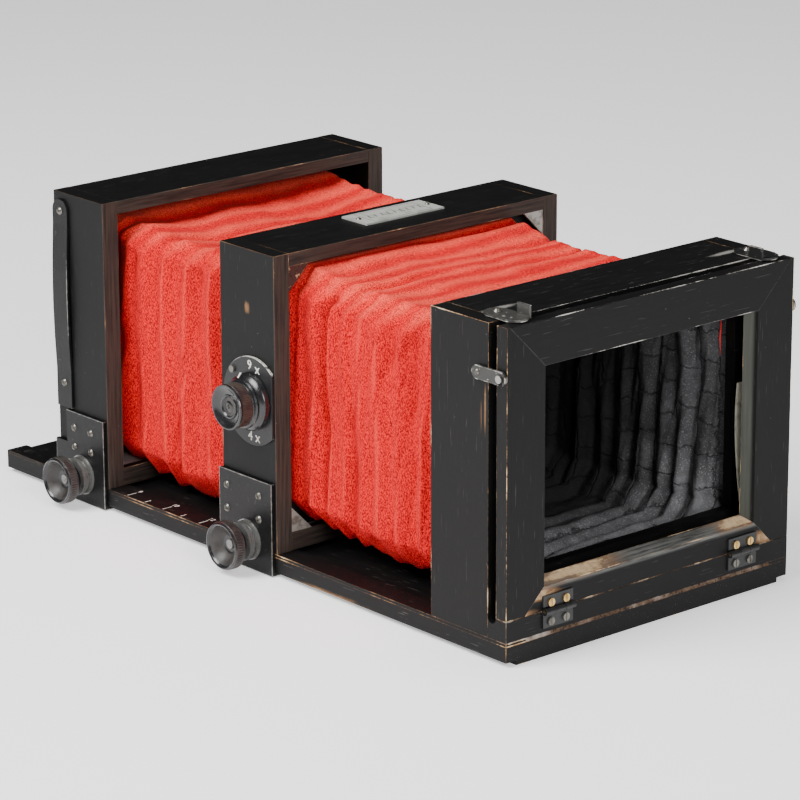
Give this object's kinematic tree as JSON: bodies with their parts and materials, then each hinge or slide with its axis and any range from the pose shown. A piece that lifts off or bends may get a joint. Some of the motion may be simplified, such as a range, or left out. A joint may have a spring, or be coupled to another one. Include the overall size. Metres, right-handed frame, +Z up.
{
  "type": "tabletop bellows camera",
  "caption": "Wooden plate camera with two sliding box standards, red cloth bellows, a rack-driven rear lens and a hinged back frame.",
  "frame": {"origin": "centre of the tripod socket on the underside of the bed", "axes": "+Z up, +Y along the bed towards the lens, knobs on the -X side"},
  "size_m": [0.178, 0.3349, 0.1437],
  "materials": {
    "lacquer_black": "black lacquered wood, worn through on the edges",
    "wood_bare": "dark stained bare wood",
    "bellows_red": "thin red pebbled cloth",
    "steel_black": "blackened steel, worn bright on the edges",
    "steel_grey": "dull grey metal",
    "steel_bright": "bright plated metal with a dull patina",
    "brass": "aged brass",
    "spring_khaki": "tarnished spring metal",
    "glass": "polished coated glass"
  },
  "bodies": {
    "root": {"bed_board": "lacquer_black", "bed_strips": "wood_bare", "bed_strip_screws": "steel_bright", "tripod_bush": "brass", "rear_side_left": "lacquer_black", "rear_side_right": "lacquer_black", "rear_top_board": "lacquer_black", "rear_sill": "lacquer_black", "rear_bellows_frame": "lacquer_black", "hinge_leaves_fixed": "steel_black", "hinge_pins": "brass", "rear_box_screws": "brass", "bellows_rear": "bellows_red"},
    "back_frame": {"back_rail_top": "lacquer_black", "back_rail_bottom": "lacquer_black", "back_stile_left": "lacquer_black", "back_stile_right": "lacquer_black", "plate_springs": "spring_khaki", "hinge_leaves_moving": "steel_black", "hinge_screws_moving": "brass", "hook_studs": "brass"},
    "latch_left": {"top_latch_left": "steel_black"},
    "latch_right": {"top_latch_right": "steel_black"},
    "hook_left": {"side_hook_left": "steel_bright"},
    "hook_right": {"side_hook_right": "steel_bright"},
    "middle": {"mid_side_left": "lacquer_black", "mid_side_right": "lacquer_black", "mid_top_board": "lacquer_black", "mid_bottom_board": "wood_bare", "mid_lens_panel": "lacquer_black", "mid_bellows_frames": "lacquer_black", "mid_corner_plates": "steel_bright", "nameplate": "steel_bright", "dial_plate": "steel_black", "small_plate_screws": "steel_bright", "mid_brackets": "steel_black", "mid_bracket_screws": "steel_bright", "mid_clamp_bolt": "steel_grey", "mid_clamp_collar": "steel_grey", "bellows_front": "bellows_red"},
    "mid_knob": {"mid_clamp_knob": "steel_black"},
    "dial": {"dial_knob": "steel_black", "dial_shaft": "brass"},
    "rear_lens": {"tele_tube": "brass", "tele_glass": "glass"},
    "front": {"front_side_left": "lacquer_black", "front_side_right": "lacquer_black", "front_top_board": "lacquer_black", "front_bottom_board": "wood_bare", "front_lens_board": "lacquer_black", "front_bellows_frame": "lacquer_black", "lens_barrel": "brass", "lens_glass": "glass", "front_brackets": "steel_black", "front_screws": "steel_bright", "front_stays": "steel_black", "front_clamp_bolt": "steel_grey", "front_clamp_collar": "steel_grey"},
    "front_knob": {"front_clamp_knob": "steel_black"},
    "iris": {"iris_ring": "brass"}
  },
  "joints": [
    {"name": "mid_slide", "type": "slide", "parent": "root", "child": "middle", "axis": [0, 1, 0], "range_m": [-0.05, 0.018], "deforming": ["bellows_rear"]},
    {"name": "front_slide", "type": "slide", "parent": "middle", "child": "front", "axis": [0, 1, 0], "range_m": [-0.044, 0.02], "deforming": ["bellows_front"]},
    {"name": "mid_clamp_turn", "type": "hinge", "parent": "middle", "child": "mid_knob", "pos_m": [-0.09, -0.0081, 0.013], "axis": [-1, 0, 0], "range_deg": [0, 270]},
    {"name": "front_clamp_turn", "type": "hinge", "parent": "front", "child": "front_knob", "pos_m": [-0.09, 0.1073, 0.013], "axis": [-1, 0, 0], "range_deg": [0, 270]},
    {"name": "dial_turn", "type": "hinge", "parent": "middle", "child": "dial", "pos_m": [-0.085, -0.01175, 0.074], "axis": [1, 0, 0], "range_deg": [0, 180]},
    {"name": "rear_lens_slide", "type": "slide", "parent": "middle", "child": "rear_lens", "axis": [0, 1, 0], "range_m": [0, 0.01101]},
    {"name": "back_open", "type": "hinge", "parent": "root", "child": "back_frame", "pos_m": [0, -0.1675, 0.019], "axis": [1, 0, 0], "range_deg": [0, 95]},
    {"name": "latch_left_turn", "type": "hinge", "parent": "root", "child": "latch_left", "pos_m": [-0.0685, -0.1493, 0.1385], "axis": [0, 0, 1], "range_deg": [0, 90]},
    {"name": "latch_right_turn", "type": "hinge", "parent": "root", "child": "latch_right", "pos_m": [0.0685, -0.1493, 0.1385], "axis": [0, 0, -1], "range_deg": [0, 90]},
    {"name": "hook_left_turn", "type": "hinge", "parent": "root", "child": "hook_left", "pos_m": [-0.0794, -0.1501, 0.1176], "axis": [-1, 0, 0], "range_deg": [0, 100]},
    {"name": "hook_right_turn", "type": "hinge", "parent": "root", "child": "hook_right", "pos_m": [0.0794, -0.1501, 0.1176], "axis": [-1, 0, 0], "range_deg": [0, 100]},
    {"name": "iris_turn", "type": "hinge", "parent": "front", "child": "iris", "pos_m": [0, 0.1363, 0.074], "axis": [0, 1, 0], "range_deg": [-45, 45]}
  ],
  "couplings": [
    {"joint": "rear_lens_slide", "follows": "dial_turn", "m_per_rad": 0.0035}
  ]
}
